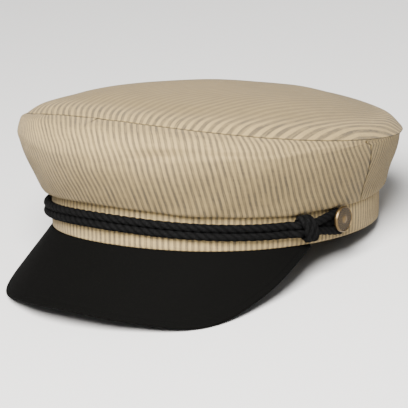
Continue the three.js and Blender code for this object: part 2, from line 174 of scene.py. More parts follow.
def crownPoint(angle, up):  # three stretches of a smooth curve: out, in and over, each between two rings
    angle, up = np.broadcast_arrays(np.asarray(angle, float), np.asarray(up, float))
    foot = aroundCap(angle, cap["bandTop"]) + cap["gap"]
    start = offBand(angle, foot, np.full(angle.shape, -cap["bandWall"]))
    full = onOval(angle, cap["full"], cap["crownSquareness"], aroundCap(angle, cap["fullHeight"]))
    seam = onOval(angle, cap["seam"], cap["crownSquareness"], aroundCap(angle, cap["seamHeight"]))
    middle = vectors(0.0 * angle, (cap["seam"][2] - cap["seam"][0]) / 2, cap["crownHeight"])
    low, mid, high = np.clip(up, 0, 1), np.clip(up - 1, 0, 1), np.clip(up - 2, 0, 1)
    towardsFront = ((1 + np.cos(angle)) / 2) ** 2
    rise = blend(readCurve(topPanel[:, 2], high), readCurve(topPanel[:, 1], high), towardsFront)
    shares = [(start, full, readCurve(lowerWall[:, 0], low), readCurve(lowerWall[:, 1], low)),
              (full, seam, readCurve(upperWall[:, 0], mid), readCurve(upperWall[:, 1], mid)),
              (seam, middle, readCurve(topPanel[:, 0], high), rise)]
    stretches = []
    for a, b, across, height in shares:
        point = blend(a, b, across[..., None])
        point[..., 2] = blend(a[..., 2], b[..., 2], height)
        stretches.append(point)
    upper = np.where((up <= 2)[..., None], stretches[1], stretches[2])
    point = np.where((up <= 1)[..., None], stretches[0], upper)
    outward = (full - start) * np.array([1.0, 1.0, 0.0])
    for place, level, depth, sag, wide, tall in hollows:
        away = np.angle(np.exp(1j * (angle - math.radians(place)))) / math.radians(wide)
        share = np.exp(-away**2 - ((up - level) / tall) ** 2)
        point -= outward * (depth * share)[..., None]
        point[..., 2] -= np.linalg.norm(outward, axis=-1) * sag * share
    return point


def crownNormal(angle, up):  # the cross product of the ways round and up the crown, by small steps
    angle, up = np.broadcast_arrays(np.asarray(angle, float), np.asarray(up, float))
    step, turn = 0.012, 0.004
    high = np.where(up < 2, np.minimum(up + step, 2), np.minimum(up + step, 2.995))
    inTop = np.maximum(up - step, 2)
    low = np.where(up > 2, inTop, np.where(up == 2, 2 - 2 * step, np.maximum(up - step, 0)))
    low = np.minimum(low, high - 0.01)
    around = crownPoint(angle + turn, up) - crownPoint(angle - turn, up)
    return unit(np.cross(around, crownPoint(angle, high) - crownPoint(angle, low)))


def seamBisector(angle):  # half-way between the wall's and the top panel's normals at their seam
    return unit(crownNormal(angle, 1.97) + crownNormal(angle, 2.03))


def smoothWaves(a, b, seed, count=7, low=1.0, high=5.0):  # a sum of plane waves with seeded ways and starts
    rng = np.random.default_rng(seed)
    total = np.zeros(np.broadcast(a, b).shape)
    for _ in range(count):
        way, size, start = rng.uniform(0, math.tau), rng.uniform(low, high), rng.uniform(0, math.tau)
        total += np.sin(size * (math.cos(way) * a + math.sin(way) * b) + start)
    return total / math.sqrt(count)


def crowded(count, share=0.85):  # even steps less a share of a sine, so that they crowd at both ends
    t = np.linspace(0, 1, count)
    return t - share * np.sin(math.tau * t) / math.tau


def runLength(points, axis):  # length along rows or columns of a grid, from its first point
    steps = np.linalg.norm(np.diff(points, axis=axis), axis=-1)
    pad = [(0, 0), (0, 0)]
    pad[axis] = (1, 0)
    return np.pad(np.cumsum(steps, axis=axis), pad)


# One closed mesh of four-sided faces: rings[s, n] is point n of the ring at station s, and each face
# joins two neighbours of one ring to the same two of the next. Its ends are a strip, a pole or closed
def makeSkin(name, rings, uv, ends="strip", poles=None, relief=None):
    stations, count = rings.shape[:2]
    wrap = ends == "closed"
    s, n = np.meshgrid(np.arange(stations - 1 + wrap), np.arange(count), indexing="ij")
    s, n = s.ravel(), n.ravel()
    cornerS, cornerN = np.stack([s, s, s + 1, s + 1], 1), np.stack([n, n + 1, n + 1, n], 1)
    points = toRest(rings.reshape(-1, 3))
    corners = uv[cornerS, cornerN].reshape(-1, 2)
    faceList = ((cornerS % stations) * count + cornerN % count).tolist()
    if ends == "strip":  # each end is closed across from one wall to the other
        k = np.arange(count // 2 - 1)
        across = np.stack([k, k + 1, count - 2 - k, count - 1 - k], 1)
        for base, quads in ((0, across[:, ::-1]), (stations - 1, across)):
            faceList += (quads + base * count).tolist()
            corners = np.concatenate([corners, uv[base, quads].reshape(-1, 2)])
    if ends == "pole":  # each end is a fan round one point
        first = len(points)
        points = np.concatenate([points, toRest(np.asarray(poles[0])[:, :3])])
        k = np.arange(count)
        for which, base in ((0, 0), (1, stations - 1)):
            a, b = base * count + k, base * count + (k + 1) % count
            ua, ub = uv[base, k], uv[base, k + 1]
            if which == 0:
                a, b, ua, ub = b, a, ub, ua
            faceList += np.stack([a, b, np.full(count, first + which)], 1).tolist()
            middle = np.repeat(np.asarray(poles[1])[which][None], count, 0)
            corners = np.concatenate([corners, np.stack((ua, ub, middle), 1).reshape(-1, 2)])
    mesh = bpy.data.meshes.new(name)
    mesh.from_pydata(points.tolist(), [], faceList)
    layer = mesh.uv_layers.new(name="cloth")
    layer.data.foreach_set("uv", (corners / 1000).ravel().astype(np.float32))
    mesh.polygons.foreach_set("use_smooth", np.ones(len(mesh.polygons), bool))
    # The relief values carry a painted shade on the crown's cloth, a painted highlight on the cord's raised
    # strands, and how rubbed the brass is
    if relief is not None:
        relief = relief.reshape(len(rings) * count, -1)
        for k, label in enumerate(("relief", "faded")[:relief.shape[1]]):
            values = np.zeros(len(points), np.float32)
            values[:len(relief)] = relief[:, k]
            mesh.attributes.new(label, "FLOAT", "POINT").data.foreach_set("value", values)
    mesh.update()
    if signedVolume(mesh) < 0:
        mesh.flip_normals()
    piece = bpy.data.objects.new(name, mesh)
    bpy.context.scene.collection.objects.link(piece)
    return piece


def signedVolume(mesh):  # the sum over triangles of corner times cross product of the others
    mesh.calc_loop_triangles()
    tris = np.zeros(len(mesh.loop_triangles) * 3, np.int32)
    mesh.loop_triangles.foreach_get("vertices", tris)
    co = np.zeros(len(mesh.vertices) * 3)
    mesh.vertices.foreach_get("co", co)
    a, b, c = co.reshape(-1, 3)[tris.reshape(-1, 3)].transpose(1, 0, 2)
    return float(np.einsum("ij,ij->i", a, np.cross(b, c)).sum() / 6)


# Shader maths: a socket that can be added, multiplied and compared like a number
class Flow:
    def __init__(self, graph, socket):
        self.graph, self.socket = graph, socket

    def maths(self, operation, *others):
        return self.graph.node("Math", {"operation": operation}, [self, *others])

    def __add__(self, other):
        return self.maths("ADD", other)

    def __sub__(self, other):
        return self.maths("SUBTRACT", other)

    def __rsub__(self, other):
        return self.graph.node("Math", {"operation": "SUBTRACT"}, [other, self])

    def __mul__(self, other):
        return self.maths("MULTIPLY", other)

    def __truediv__(self, other):
        return self.maths("DIVIDE", other)

    __radd__, __rmul__ = __add__, __mul__


class Graph:
    def __init__(self, name):
        self.material = bpy.data.materials.new(name)
        self.material.use_nodes = True
        self.tree = self.material.node_tree
        self.tree.nodes.clear()

    # One shader node: its type, its settings, what goes into its sockets by name or by place, and its output
    def node(self, kind, settings, inputs, output=0):
        made = self.tree.nodes.new("ShaderNode" + kind)
        for key, value in settings.items():
            setattr(made, key, value)
        for key, value in (inputs.items() if isinstance(inputs, dict) else enumerate(inputs)):
            if isinstance(value, Flow):
                self.tree.links.new(value.socket, made.inputs[key])
            else:
                made.inputs[key].default_value = value
        return Flow(self, made.outputs[output])

    def mix(self, a, b, share):
        return self.node("Mix", {"data_type": "RGBA"}, {0: share, 6: a, 7: b}, 2)

    def noise(self, vector, scale, detail=2.0, roughness=0.5):
        inputs = {"Vector": vector, "Scale": scale, "Detail": detail, "Roughness": roughness}
        return self.node("TexNoise", {}, inputs)

    def attribute(self, label):
        return self.node("Attribute", {"attribute_name": label}, [], "Fac")

    def bump(self, strength, distance, height):
        return self.node("Bump", {}, {"Strength": strength, "Distance": distance, "Height": height})

    def clothPlace(self):  # the flat cloth's coordinates in metres: both together, then along and across
        uv = self.node("UVMap", {"uv_map": "cloth"}, [], "UV")
        split = self.node("SeparateXYZ", {}, [uv])
        return uv, split, Flow(self, split.socket.node.outputs[1])

    def range(self, value, low, high, start=0.0, end=1.0):  # a smooth step from start to end
        settings = {"interpolation_type": "SMOOTHSTEP"}
        return self.node("MapRange", settings, [value, low, high, start, end])

    def finish(self, inputs):
        shader = self.node("BsdfPrincipled", {}, inputs)
        out = self.tree.nodes.new("ShaderNodeOutputMaterial")
        self.tree.links.new(shader.socket, out.inputs[0])
        return self.material


cloth = {
    "stripe": 0.0032,  # from one stripe to the next, in metres as all lengths of the looks
    "yarnsInStripe": 7,
    "darkShare": 0.52, "softEdge": 0.045,  # how much of a stripe's width is dark, and how softly it ends
    "light": (0.336, 0.246, 0.112, 1), "dark": (0.028, 0.028, 0.03, 1), "weft": (0.254, 0.186, 0.088, 1),
    "stray": 0.0006,  # how far a stripe wanders
    "yarnDepth": 0.00018, "roughness": 0.86,
    "topFade": 0.5,  # how much fainter the stripes are on the flat of the top
    "paintedShade": 0.92,  # how much darker the painted shade makes the cloth: down in a seam, below the fullest ring and on the flat of the top
}


# Plain weave: yarns go over and under as on a chessboard, each one round as a sine. Dark warp yarns make the
# stripes, and slubs, flecks and wear are noise drawn out along the yarns. A painted shade darkens the low
# places between the yarns, and the crown's seams, lower wall and flat top
def stripedCloth(name, look):
    g = Graph(name)
    uv, x, y = g.clothPlace()
    pitch = look["stripe"] / look["yarnsInStripe"]
    stray = g.noise(uv, 95.0, 3.0) - 0.5
    across = x + stray * look["stray"]
    warp, weft = across / pitch, y / pitch
    warpPlace, weftPlace = warp.maths("FRACT"), weft.maths("FRACT")
    warpNumber, weftNumber = warp.maths("FLOOR"), weft.maths("FLOOR")
    over = ((warpNumber + weftNumber) / 2).maths("FRACT").maths("GREATER_THAN", 0.25)
    warpRound, weftRound = (warpPlace * math.pi).maths("SINE"), (weftPlace * math.pi).maths("SINE")
    warpHeight = warpRound * (weftRound * 0.45 + 0.55)
    weftHeight = weftRound * (warpRound * 0.45 + 0.55)
    height = over * warpHeight + (1 - over) * weftHeight
    inStripe = (across / look["stripe"]).maths("FRACT")
    fromMiddle = (inStripe - 0.5).maths("ABSOLUTE")
    edge = look["darkShare"] / 2
    darkYarn = g.range(fromMiddle, edge - look["softEdge"], edge + look["softEdge"], 1.0, 0.0)
    faded = g.attribute("faded")
    darkYarn = darkYarn * (1 - faded * look["topFade"])
    yarnTone = g.node("TexWhiteNoise", {"noise_dimensions": "1D"}, {"W": warpNumber})
    picks = g.node("CombineXYZ", {}, [x * 120.0, y * 900.0, 0.0])
    ends = g.node("CombineXYZ", {}, [x * 900.0, y * 90.0, 0.0])
    slub = g.noise(picks, 1.0, 2.0)
    fleck = g.noise(ends, 1.0, 2.0)
    darkness = darkYarn * (0.8 + yarnTone * 0.2) * g.range(fleck, 0.3, 0.6, 0.45, 1.0)
    warpColour = g.mix(look["light"], look["dark"], darkness)
    weftColour = g.mix(look["weft"], look["light"], g.range(slub, 0.35, 0.65))
    yarn = g.mix(weftColour, warpColour, over * 0.5 + 0.47)
    wear = g.noise(uv, 22.0, 3.0)
    # Painted shade from the relief attribute: darker down in the crown's seams, below its fullest ring and on
    # the flat of its top
    seam = g.attribute("relief")
    # Darker where the yarn lies low: a painted shade between the yarns. Wear and flecks are the cloth's own
    # tone
    shade = (height * 0.34 + 0.66) * (wear * 0.24 + 0.88) * (fleck * 0.4 + 0.8)
    shade = shade * (1 - seam * look["paintedShade"])
    colour = g.node("VectorMath", {"operation": "SCALE"}, {"Vector": yarn, "Scale": shade})
    bump = g.bump(0.55, look["yarnDepth"], height + slub * 0.5)
    return g.finish({"Base Color": colour, "Roughness": look["roughness"], "Normal": bump,
                     "Sheen Weight": 0.04, "Sheen Roughness": 0.5, "Specular IOR Level": 0.15})


peakLook = {
    "twill": 0.0011, "ribDepth": 0.00016, "roughness": 0.92,  # twill is the distance between ribs
    "colour": (0.0016, 0.0016, 0.0015, 1), "lint": (0.006, 0.0058, 0.0054, 1),
}


# Twill: sine ribs on a slant with finer threads across them, and noise for lint and for paler patches
def blackTwill(name, look):
    g = Graph(name)
    uv, x, y = g.clothPlace()
    stray = g.noise(uv, 260.0, 2.0) - 0.5
    rib = (((x + y * 0.8) / look["twill"] + stray * 0.5) * math.tau).maths("SINE")
    thread = ((y - x * 0.3) * (math.tau / (look["twill"] * 0.55))).maths("SINE")
    fuzz = g.noise(uv, 1500.0, 3.0, 0.7)
    patch = g.noise(uv, 28.0, 3.0)
    colour = g.mix(look["colour"], look["lint"], g.range(fuzz, 0.5, 0.85, 0.0, 0.5) + patch * 0.1)
    height = rib * 0.5 + thread * 0.18 + fuzz * 0.9
    bump = g.bump(0.4, look["ribDepth"], height)
    return g.finish({"Base Color": colour, "Roughness": look["roughness"], "Normal": bump,
                     "Specular IOR Level": 0.03})


cordLook = {
    "fibre": 0.00042, "fibreDepth": 0.00015, "roughness": 0.8,  # fibre is the distance between fibres
    # The second colour is a painted highlight for the raised strands
    "colour": (0.0008, 0.0008, 0.0008, 1), "worn": (0.0085, 0.0085, 0.0088, 1),
}


# Laid cord: sine fibres run along each strand, and the raised parts are a little lighter, a painted highlight
# broken up by noise
def laidCord(name, look):
    g = Graph(name)
    uv, x, y = g.clothPlace()
    stray = g.noise(uv, 420.0, 2.0) - 0.5
    fibre = ((x / look["fibre"] + stray * 0.8) * math.tau).maths("SINE")
    fuzz = g.noise(uv, 1300.0, 3.0, 0.6)
    relief = g.attribute("relief")
    # The raised strands get a painted highlight, broken up by fuzz
    colour = g.mix(look["colour"], look["worn"], relief * g.range(fuzz, 0.3, 0.75, 0.15, 0.75))
    bump = g.bump(0.5, look["fibreDepth"], fibre * 0.5 + fuzz * 0.8)
    return g.finish({"Base Color": colour, "Roughness": look["roughness"], "Normal": bump,
                     "Specular IOR Level": 0.03})


brassLook = {"bright": (0.12, 0.08, 0.036, 1), "patina": (0.016, 0.0105, 0.005, 1), "grainDepth": 0.00005}


# Aged brass: a smooth step of relief and stain, bright where the relief is rubbed and brown in its hollows
def agedBrass(name, look):
    g = Graph(name)
    place = g.node("TexCoord", {}, [], "Object")
    relief = g.attribute("relief")
    stain = g.noise(place, 900.0, 3.0)
    rubbed = g.range(relief + (stain - 0.5) * 0.5, 0.15, 0.85)
    colour = g.mix(look["patina"], look["bright"], rubbed)
    fine = g.noise(place, 5200.0, 2.0)
    bump = g.bump(0.25, look["grainDepth"], fine + stain)
    return g.finish({"Base Color": colour, "Metallic": 0.35 + rubbed * 0.6, "Roughness": 0.62 - rubbed * 0.25,
                     "Normal": bump})


clothMaterial = stripedCloth("striped_cloth", cloth)
peakMaterial = blackTwill("peak_cloth", peakLook)
cordMaterial = laidCord("black_cord", cordLook)
brassMaterial = agedBrass("aged_brass", brassLook)
print("materials made")


sides = ((1, "left"), (-1, "right"))


def dress(piece, node, material):  # gives a piece its material and puts it in its node's place
    piece.data.materials.append(material)
    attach(piece, "root")
    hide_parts(node)


crown = {
    "frontSteps": 190, "backSteps": 150, "lowerSteps": 50, "upperSteps": 46, "ringSteps": 340, "topSteps": 70,
    "meanReach": 105,  # turns angles into lengths for the waves
    "seamDepth": 0.34, "seamWidth": 0.44, "mostDips": 1.2,  # how far and how wide the cloth dips at a seam
    "wideDepth": 0.08, "wideWidth": 2.4,  # the shallow trough about that dip
    "edgeGap": 0.02,  # from a panel's edge to the middle of its seam
    "frontSeam": 0.12,  # the centre front seam's share of a dip
    "pucker": 0.09, "puckerReach": 5, "softness": 0.4, "fineSoftness": 0.12,
    "sag": 1.5, "sagMiddle": 0.19, "sagSpan": 0.13,  # the fold of cloth that hangs over the band's top
    "calmAngle": 86, "calmSpan": 12, "calmShare": 0.88,  # where the cord's loops leave it less room
    "lowShade": 0.34, "lowShadeMiddle": 0.62, "lowShadeSpan": 0.42,  # a painted shade in the cloth's colour, below the fullest ring
    "topShade": 0.34, "topShadeFrom": 17, "topShadeSoft": 2.5,  # a painted shade in the cloth's colour, on the flat of the top
    "topWidth": 0.93, "traceSteps": 40,  # a width below 1 makes the top's stripes wider than the wall's
}

# How the front's stripes lean from upright, in degrees towards the wearer's left, at these angles from the
# front: at the band, at the fullest ring and at the top seam
leanAngles = np.array([-104, -62, -20, 4, 40, 64, 104], float)
leans = np.array([(40, 8, 31, 15, -19, -36, -60), (32, -5, -17, -15, -16, -20, -50),
                  (32, -14, -56, -34, -11, -18, -40)], float)
backLean, backSpan = 28.0, 82  # the lean at the side seam, and the angle over which it fades out

# The top's lean over its middle and near its front edge, each with its change for one millimetre of X
topLeans = {"middle": 14, "middleChange": -0.2, "edge": -42, "edgeChange": 0.325, "from": 40, "over": 64}

# Creases in the wall: angle, up, depth in millimetres, half span round in degrees, half span up, slant
creases = [(22, 0.97, 0.7, 34, 0.1, 0), (24, 1.1, 0.9, 15, 0.1, 0.004), (26, 1.4, -0.55, 17, 0.12, 0.004),
           (47, 1.22, 0.5, 9, 0.07, -0.006), (47, 1.42, -0.35, 10, 0.08, -0.006),
           (86, 0.62, 0.6, 5, 0.2, 0.02), (-20, 0.9, 0.5, 12, 0.1, -0.01), (-70, 0.75, 0.7, 14, 0.12, 0.01),
           (118, 0.7, 0.9, 9, 0.12, -0.015), (150, 1.1, 0.6, 16, 0.1, 0.006),
           (-150, 0.8, 0.7, 14, 0.12, 0.01), (-118, 1.2, 0.5, 12, 0.1, -0.01), (64, 0.5, 0.45, 9, 0.1, 0.012)]


def bell(distance, span):  # 1 at no distance, falling on a Gauss curve
    return np.exp(-((distance / span) ** 2))


def sagAt(angle):  # less over the buttons, where the cord's loops need the room
    away = np.abs(np.angle(np.exp(1j * angle))) - math.radians(crown["calmAngle"])
    away = away / math.radians(crown["calmSpan"])
    return crown["sag"] * (1 - crown["calmShare"] * np.exp(-away**4))


# The crown's outer cloth: the plain shape, moved along its normal by the seams' dips, puckers and creases.
# It also gives the way moved and two values: a painted shade, down in the seams, below the fullest ring and
# on the flat of the top, and how far on the flat top
def dressedCrown(angle, up, toSide, toTop, sideShare=1.0):
    point, normal = crownPoint(angle, up), crownNormal(angle, up)
    way = unit(blend(normal, seamBisector(angle), bell(toTop, 2.0)[..., None]))
    length = np.asarray(angle) * crown["meanReach"] + 0 * up
    dip = bell(toTop, crown["seamWidth"]) + sideShare * bell(toSide, crown["seamWidth"])
    wide = bell(toTop, crown["wideWidth"]) + sideShare * bell(toSide, crown["wideWidth"])
    alongTop = smoothWaves(length / 3.2, up * 9, 3, 5, 0.8, 1.6) * np.exp(-toTop / crown["puckerReach"])
    alongSide = smoothWaves(length * 0.3, up * 26, 4, 5, 0.8, 1.6) * np.exp(-toSide / crown["puckerReach"])
    ripple = crown["pucker"] * (alongTop + alongSide)
    calm = np.clip(np.minimum(toTop, toSide) / 8, 0, 1)
    x, y = point[..., 1] / -crown["meanReach"], point[..., 0] / crown["meanReach"]
    soft = crown["softness"] * calm * smoothWaves(x * 3 + up * 1.3, y * 3 - up * 1.1, 8, 8, 0.8, 2.6)
    fine = smoothWaves(x * 11 + up * 4, y * 11 - up * 5, 9, 9, 0.8, 2.2)
    soft = soft + crown["fineSoftness"] * calm * fine
    for place, level, depth, across, tall, slant in creases:
        away = np.degrees(np.angle(np.exp(1j * (angle - math.radians(place)))))
        crease = depth * np.exp(-((away / across) ** 2) - ((up - level - slant * away) / tall) ** 2)
        soft = soft - crease * np.clip(toTop / 3, 0, 1)
    dips = crown["seamDepth"] * np.minimum(dip, crown["mostDips"]) + crown["wideDepth"] * np.minimum(wide, 1)
    point = point + way * (soft + ripple - dips)[..., None]
    point[..., 2] -= bell(up - crown["sagMiddle"], crown["sagSpan"]) * sagAt(np.asarray(angle) + 0 * up)
    # Painted shade for the base colour: a band below the fullest ring, the flat of the top and the seams'
    # dips
    under = crown["lowShade"] * np.exp(-(((up - crown["lowShadeMiddle"]) / crown["lowShadeSpan"]) ** 4))
    flat = (up > 2) / (1 + np.exp((crown["topShadeFrom"] - toTop) / crown["topShadeSoft"]))
    return point, way, np.stack([np.clip(dip + under + crown["topShade"] * flat, 0, 1), flat], -1)


def frontLean(angle, up):  # straight mixes of the band's lean, the fullest ring's and the top seam's
    low, full, top = (np.interp(np.degrees(angle), leanAngles, row) for row in leans)
    below = blend(low, full, np.clip((up - 0.15) / 0.85, 0, 1))
    return blend(below, top, np.clip((up - 1) / 0.45, 0, 1))


def topLean(x, y):  # from +Y towards +X, seen from above, and passing over to the edge's by a square
    near = np.clip((-y - topLeans["from"]) / topLeans["over"], 0, 1) ** 2
    middle = topLeans["middle"] + topLeans["middleChange"] * x
    return blend(middle, topLeans["edgeChange"] * x + topLeans["edge"], near)


def readLine(at, places, values):  # straight pieces, carried on past both ends
    first = (values[1] - values[0]) / (places[1] - places[0])
    last = (values[-1] - values[-2]) / (places[-1] - places[-2])
    return (np.interp(at, places, values) + first * np.minimum(at - places[0], 0)
            + last * np.maximum(at - places[-1], 0))


# Distance across the front's stripes: lengths along the fullest ring, carried up and down row by row, each
# place taking the value of the place in the last row that its stripe comes from
def frontStripes(up):
    angles = np.radians(np.linspace(-110, 110, 441))
    mid, full = (up[1:] + up[:-1]) / 2, int(np.searchsorted(up, 1.0))

    def ways(level):
        lean = np.tan(np.radians(frontLean(angles, level)))
        around = (crownPoint(angles + 0.003, level) - crownPoint(angles - 0.003, level)) / 0.006
        low, high = max(level - 0.01, 0.0), min(level + 0.01, 2.0)
        rise = (crownPoint(angles, high) - crownPoint(angles, low)) / (high - low)
        size = np.linalg.norm(around, axis=-1)
        slant = np.einsum("ij,ij->i", rise, around) / size
        upright = np.sqrt(np.maximum(np.einsum("ij,ij->i", rise, rise) - slant**2, 0))
        return (lean * upright - slant) / size, size / np.sqrt(1 + lean**2)

    spread = ways(1.0)[1]
    start = np.append(0, np.cumsum((spread[1:] + spread[:-1]) / 2 * np.diff(angles)))
    rows = {full: start - np.interp(0, angles, start)}
    for k in range(full, len(up) - 1):
        rows[k + 1] = readLine(angles - (up[k + 1] - up[k]) * ways(mid[k])[0], angles, rows[k])
    for k in range(full, 0, -1):
        rows[k - 1] = readLine(angles + (up[k] - up[k - 1]) * ways(mid[k - 1])[0], angles, rows[k])
    return angles, rows


# Flat pattern of a back panel: lengths round the fullest ring and up the wall, turned by the stripes' lean
def backPattern(points, angle, lean, fullRow):
    ring = points[fullRow]
    steps = np.linalg.norm(np.diff(ring, axis=0), axis=-1) * np.sign(np.diff(angle[fullRow]))
    tall = runLength(points, 0)
    height = tall - tall[fullRow]
    turn = -np.radians(lean)
    u = np.concatenate([[0], np.cumsum(np.cos(turn[1:]) * steps)])
    v = -np.concatenate([[0], np.cumsum(np.sin(turn[1:]) * steps)])
    return np.stack([u + np.sin(turn) * height, v + np.cos(turn) * height], -1)


def sideSeam(up):  # the side seam's angle, on a smooth step from the band to the top seam
    share = np.clip(up / 2, 0, 1)
    low, top = np.radians(cap["sideSeam"])
    return blend(low, top, share * share * (3 - 2 * share))


# A wall panel: the dressed crown between two seams, and the same moved in by the cloth's thickness
def makePanel(name, side, isFront, steps):
    trim = crown["edgeGap"] / crown["meanReach"]
    t = crowded(steps)
    up = np.concatenate([np.linspace(0, 1, crown["lowerSteps"])[:-1] ** 1.25,
                         1 + np.sin(np.linspace(0, 1, crown["upperSteps"]) * math.pi / 2)])
    u = up[:, None]
    a = blend(trim, sideSeam(u) - trim, t) if isFront else blend(sideSeam(u) + trim, math.pi - trim, 1 - t)
    a = side * a
    plain = crownPoint(a, u)
    run, tall = runLength(plain, 1), runLength(plain, 0)
    toSide = np.minimum(run, run[:, -1:] - run)
    toTop = tall[-1:] - tall
    faint = blend(crown["frontSeam"], 1, bell(toTop, 5))  # it hardly shows but near the top
    share = np.where(run < toSide + 1e-6, faint, 1.0) if isFront else 1.0
    outer, way, shade = dressedCrown(a, u, toSide, toTop, share)
    atSeam = (crown["edgeGap"] * (up == 2))[:, None, None]
    outer -= unit(crownPoint(a[-1], 2.0) - crownPoint(a[-1], 1.96)) * atSeam
    facing = np.maximum(np.einsum("ijk,ijk->ij", way, crownNormal(a, u)), 0.5)
    inner = outer - way * (cap["crownWall"] / facing)[..., None]
    if isFront:
        angles, rows = frontStripes(up)
        stripes = np.stack([readLine(a[k], angles, rows[k]) for k in range(len(up))])
        pattern = np.stack([stripes, tall], -1)
    else:
        fullRow = crown["lowerSteps"] - 1
        lean = side * backLean * (180 - abs(np.degrees(a[fullRow]))) / backSpan
        pattern = backPattern(plain, a, lean, fullRow)
    rings = np.concatenate([outer, inner[::-1]], 0).transpose(1, 0, 2)
    uv = np.concatenate([pattern, pattern[::-1], pattern[:1]], 0).transpose(1, 0, 2)
    return makeSkin(name, rings, uv, relief=np.concatenate([shade, shade[::-1]], 0).transpose(1, 0, 2))


for side, label in sides:
    for part, isFront in (("front", True), ("back", False)):
        panel = makePanel(f"cloth_{part}_{label}", side, isFront, crown[f"{part}Steps"])
        dress(panel, f"crown_{part}_{label}", clothMaterial)
print("crown wall made")


# The top panel: rings of the dressed crown from the seam to the middle, and the same moved in by the cloth.
# Each place of it is traced back along its stripe to the line Y = 0
def makeTopPanel():
    angles = np.linspace(0, math.tau, crown["ringSteps"], endpoint=False)
    up = 2 + crowded(crown["topSteps"], 0.6)[:-1] ** 1.35
    a, u = angles[None, :], up[:, None]
    plain = crownPoint(a, u)
    tall = runLength(plain, 0)
    outer, way, shade = dressedCrown(a, u, np.full(tall.shape, 99.0), tall)
    outer += unit(crownPoint(a, 2.04) - crownPoint(a, 2.0))[0] * (crown["edgeGap"] * (up == 2))[:, None, None]
    facing = np.maximum(np.einsum("ijk,ijk->ij", way, crownNormal(a, np.maximum(u, 2.01))), 0.5)
    inner = outer - way * (cap["crownWall"] / facing)[..., None]
    middle = crownPoint(0.0, 3.0).reshape(3)
    poles = np.stack([middle, middle - np.array([0, 0, cap["crownWall"]])])
    rings = np.concatenate([outer[::-1], inner], 0)
    x, y = rings[..., 0], rings[..., 1]
    step = np.maximum(-y, 0) / crown["traceSteps"]
    for k in range(crown["traceSteps"]):
        x = x + step * np.tan(np.radians(topLean(x, y + step * (k + 0.5))))
    uv = np.stack([x * crown["topWidth"], y], -1)
    uv = np.concatenate([uv, uv[:, :1]], 1)
    return makeSkin("cloth_top", rings, uv, "pole", (poles, np.stack([poles[:, 0], poles[:, 1]], -1)),
                    np.concatenate([shade[::-1], shade], 0))


dress(makeTopPanel(), "crown_top", clothMaterial)
print("crown top made")


band = {
    "stations": 400, "rows": 26, "bulge": 0.25, "waves": 0.2,
    "seamDepth": 0.5, "seamWidth": 0.8,  # the join at the centre back
    "patternHeight": 22, "press": 1.02,  # how tall the flat cloth is taken, and how well it is pressed flat
}


# The band: upright rows with a slight outward bow, its corners rounded, carried round the oval
def makeBand():
    angles = np.linspace(math.pi, -math.pi, band["stations"], endpoint=False)
    low, top = aroundCap(angles, cap["bandEdge"]), aroundCap(angles, cap["bandTop"])
    rise = np.linspace(0, 1, band["rows"])
    turn = np.linspace(0, math.pi, 9)[1:-1]
    wall, half = cap["bandWall"], cap["bandWall"] / 2
    outerOut, outerUp = band["bulge"] * np.sin(rise * math.pi), rise
    topOut, topUp = -half + half * np.cos(turn), half * np.sin(turn)
    out = np.concatenate([outerOut, topOut, -wall + 0 * rise, topOut[::-1]])
    share = np.concatenate([outerUp, np.ones(turn.size), rise[::-1], np.zeros(turn.size)])
    shift = np.concatenate([0 * rise, topUp, 0 * rise, -topUp])
    a = angles[:, None]
    span = (top - low - 2 * half)[:, None]
    heights = low[:, None] + half + share * span + shift
    waves = band["waves"] * smoothWaves(np.cos(a) * 6, np.sin(a) * 6 + heights / 20, 21)
    rings = offBand(a + 0 * heights, heights, out + waves * (share > 0))
    toBack = np.abs(np.angle(-np.exp(1j * a))) * cap["bandHalfLength"]
    seam = band["seamDepth"] * np.exp(-((toBack / band["seamWidth"]) ** 2))
    rings -= bandNormal(a) * (seam * (out > -half))[..., None]
    rest = toRest(rings)
    pressed = np.maximum(-rest[..., 2], 0) * 1000
    rings[..., 2] += pressed * band["press"]
    around = runLength(onBand(np.append(angles, -math.pi))[None], 1)[0]
    steps = np.hypot(np.diff(out), np.diff(share * band["patternHeight"] + shift))
    ringLength = np.cumsum(np.concatenate([[0], steps, [0.4]]))
    u = around[:, None] + 0 * ringLength
    v = ringLength[None, :] + 0 * around[:, None]
    return makeSkin("cloth_band", rings, np.stack([u, v], -1), "closed")


dress(makeBand(), "head_band", clothMaterial)
print("band made")


peak = {
    "wall": 2.2, "depth": 45.2, "halfSpread": 76.3, "stations": 300, "rows": 44, "seamGap": 0.06,
    "grooveIn": 2.6, "grooveDepth": 0.35, "grooveWidth": 0.45, "grooveFrom": 8,  # pressed in along its edge
    "sewnIn": (-0.8, -1.6), "waves": 0.12, "faceWaves": 0.6, "fan": 160,
}

# From the peak's middle to its end: share of the half spread, share of the depth, and slope in degrees
peakRows = np.array([(0, 1, 40.5), (0.25, 0.995, 45.8), (0.5, 0.96, 51), (0.72, 0.577, 52), (0.88, 0.246, 44),
                     (1, 0.022, 36)])


